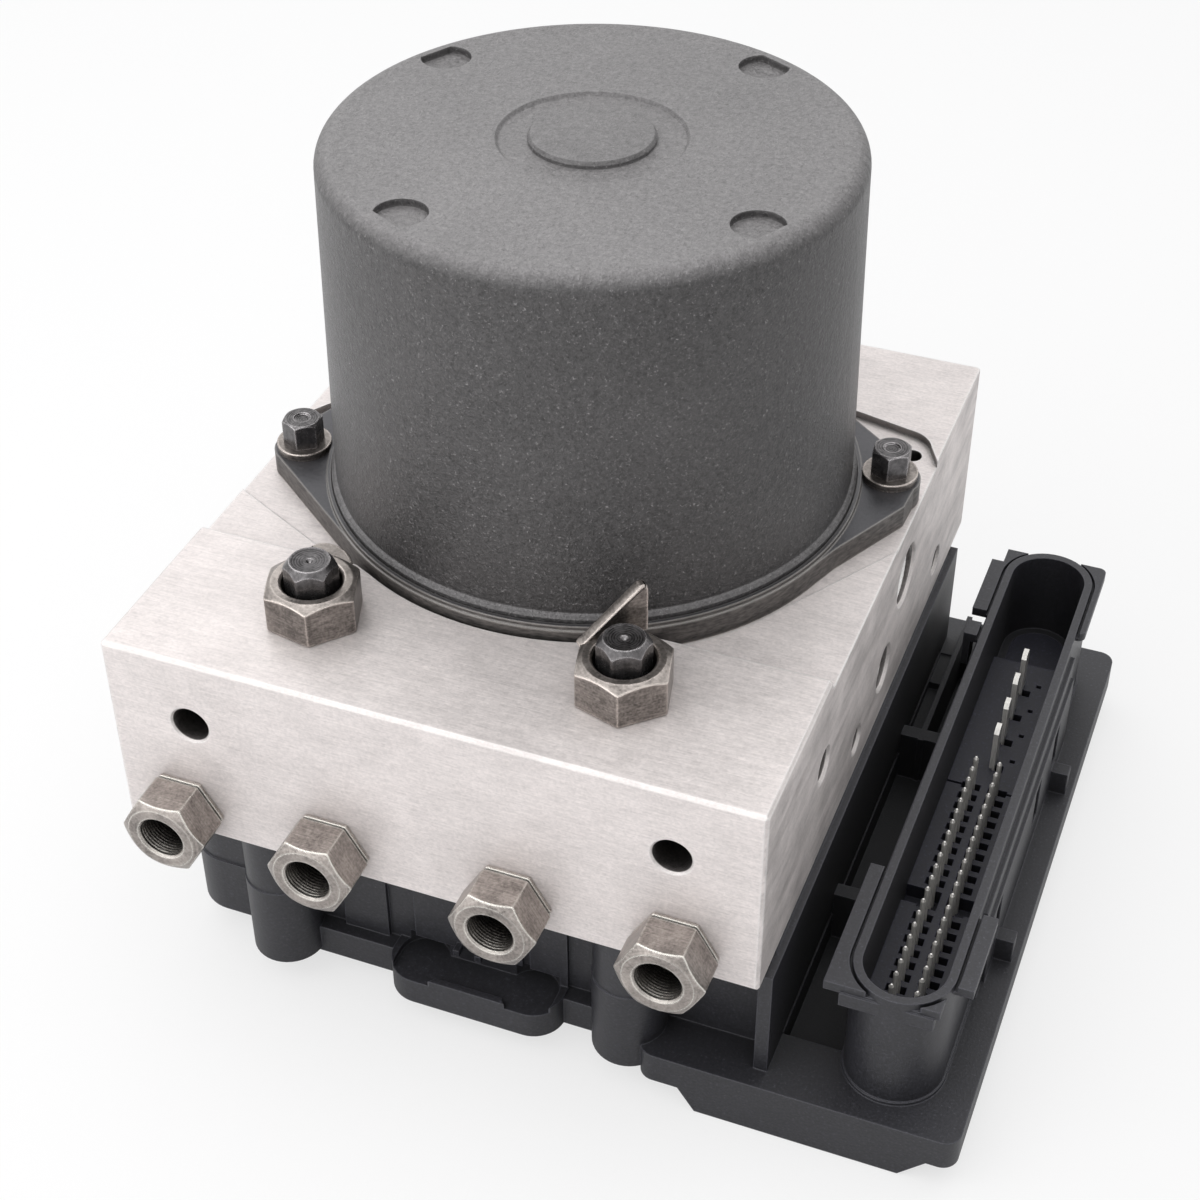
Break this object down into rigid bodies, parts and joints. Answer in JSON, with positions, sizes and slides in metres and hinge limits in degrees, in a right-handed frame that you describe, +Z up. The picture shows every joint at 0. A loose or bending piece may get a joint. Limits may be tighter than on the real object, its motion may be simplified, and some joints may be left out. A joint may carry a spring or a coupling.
{
  "type": "abs brake module",
  "caption": "Aluminium brake valve block with a round pump motor on top, hex pipe fittings, and a black plastic control unit with an upright oblong connector.",
  "frame": {"origin": "motor axis at the plane the module stands on", "axes": "+Z up along the motor axis, +X towards the connector, -Y towards the outlet fittings"},
  "size_m": [0.1304, 0.124, 0.1215],
  "materials": {
    "block": "brushed, milled",
    "steel": "brushed, nickel plated",
    "dark_steel": "turned, dark",
    "coat": "fine grained satin coat",
    "flange": "satin, dark zinc",
    "plastic": "fine grained",
    "terminal": "tinned",
    "copper": "enamelled wire",
    "iron": "laminated",
    "magnet": "sintered",
    "carbon": "pressed carbon",
    "board": "solder mask",
    "rubber": "moulded",
    "bronze": "sintered"
  },
  "bodies": {
    "module": {"valve_block": "block", "outlet_fittings": "steel", "inlet_fitting_left": "steel", "inlet_fitting_right": "steel", "blanking_plugs": "dark_steel", "gallery_plugs": "steel", "motor_can": "coat", "motor_flange": "flange", "motor_bolts": "dark_steel", "motor_washers": "steel", "motor_magnets": "magnet", "brush_plate": "plastic", "carbon_brushes": "carbon", "brush_springs": "steel", "bearing_outer": "steel", "top_bush": "bronze", "pump_cap": "steel", "accumulator_caps": "steel", "valve_cartridges": "steel", "valve_springs": "steel", "valve_coils": "copper", "pressure_sensor": "steel", "circuit_board": "board", "board_parts": "carbon", "ecu_housing": "plastic", "ecu_cover": "plastic", "ecu_seal": "rubber", "ecu_screws": "dark_steel", "pin_carrier": "plastic", "pin_lock": "plastic", "signal_pins": "terminal", "power_blades": "terminal", "accumulator_spring_left": "steel", "accumulator_spring_right": "steel"},
    "armature": {"motor_shaft": "steel", "armature_core": "iron", "armature_winding": "copper", "commutator": "copper", "bearing_inner": "steel"},
    "eccentric_ring": {"eccentric_ring": "steel"},
    "ball_set": {"bearing_balls": "steel"},
    "piston_front": {"pump_piston_front": "steel", "pump_spring_front": "steel"},
    "piston_rear": {"pump_piston_rear": "steel", "pump_spring_rear": "steel"},
    "accumulator_left": {"accumulator_piston_left": "block"},
    "accumulator_right": {"accumulator_piston_right": "block"},
    "plunger_1": {"valve_plunger_1": "dark_steel"},
    "plunger_2": {"valve_plunger_2": "dark_steel"},
    "plunger_3": {"valve_plunger_3": "dark_steel"},
    "plunger_4": {"valve_plunger_4": "dark_steel"},
    "plunger_5": {"valve_plunger_5": "dark_steel"},
    "plunger_6": {"valve_plunger_6": "dark_steel"},
    "plunger_7": {"valve_plunger_7": "dark_steel"},
    "plunger_8": {"valve_plunger_8": "dark_steel"}
  },
  "joints": [
    {"name": "armature_turn", "type": "hinge", "parent": "module", "child": "armature", "pos_m": [0, 0, 0.04], "axis": [0, 0, 1], "continuous": true},
    {"name": "ring_turn", "type": "hinge", "parent": "armature", "child": "eccentric_ring", "pos_m": [0.001, 0, 0.043], "axis": [0, 0, 1], "continuous": true},
    {"name": "ball_roll", "type": "hinge", "parent": "module", "child": "ball_set", "pos_m": [0, 0, 0.055], "axis": [0, 0, 1], "continuous": true},
    {"name": "piston_front_slide", "type": "slide", "parent": "module", "child": "piston_front", "axis": [0, -1, 0], "range_m": [0, 0.002], "stiffness_N_per_m": 2500},
    {"name": "piston_rear_slide", "type": "slide", "parent": "module", "child": "piston_rear", "axis": [0, 1, 0], "range_m": [0, 0.002], "stiffness_N_per_m": 2500},
    {"name": "accumulator_left_slide", "type": "slide", "parent": "module", "child": "accumulator_left", "axis": [0, 0, -1], "range_m": [0, 0.005], "stiffness_N_per_m": 6000, "deforming": ["accumulator_spring_left"]},
    {"name": "accumulator_right_slide", "type": "slide", "parent": "module", "child": "accumulator_right", "axis": [0, 0, -1], "range_m": [0, 0.005], "stiffness_N_per_m": 6000, "deforming": ["accumulator_spring_right"]},
    {"name": "plunger_1_lift", "type": "slide", "parent": "module", "child": "plunger_1", "axis": [0, 0, 1], "range_m": [0, 0.0004], "stiffness_N_per_m": 3000},
    {"name": "plunger_2_lift", "type": "slide", "parent": "module", "child": "plunger_2", "axis": [0, 0, 1], "range_m": [0, 0.0004], "stiffness_N_per_m": 3000},
    {"name": "plunger_3_lift", "type": "slide", "parent": "module", "child": "plunger_3", "axis": [0, 0, 1], "range_m": [0, 0.0004], "stiffness_N_per_m": 3000},
    {"name": "plunger_4_lift", "type": "slide", "parent": "module", "child": "plunger_4", "axis": [0, 0, 1], "range_m": [0, 0.0004], "stiffness_N_per_m": 3000},
    {"name": "plunger_5_lift", "type": "slide", "parent": "module", "child": "plunger_5", "axis": [0, 0, 1], "range_m": [0, 0.0004], "stiffness_N_per_m": 3000},
    {"name": "plunger_6_lift", "type": "slide", "parent": "module", "child": "plunger_6", "axis": [0, 0, 1], "range_m": [0, 0.0004], "stiffness_N_per_m": 3000},
    {"name": "plunger_7_lift", "type": "slide", "parent": "module", "child": "plunger_7", "axis": [0, 0, 1], "range_m": [0, 0.0004], "stiffness_N_per_m": 3000},
    {"name": "plunger_8_lift", "type": "slide", "parent": "module", "child": "plunger_8", "axis": [0, 0, 1], "range_m": [0, 0.0004], "stiffness_N_per_m": 3000}
  ],
  "couplings": [
    {"joint": "ring_turn", "follows": "armature_turn", "ratio": -1},
    {"joint": "ball_roll", "follows": "armature_turn", "ratio": 0.375}
  ]
}
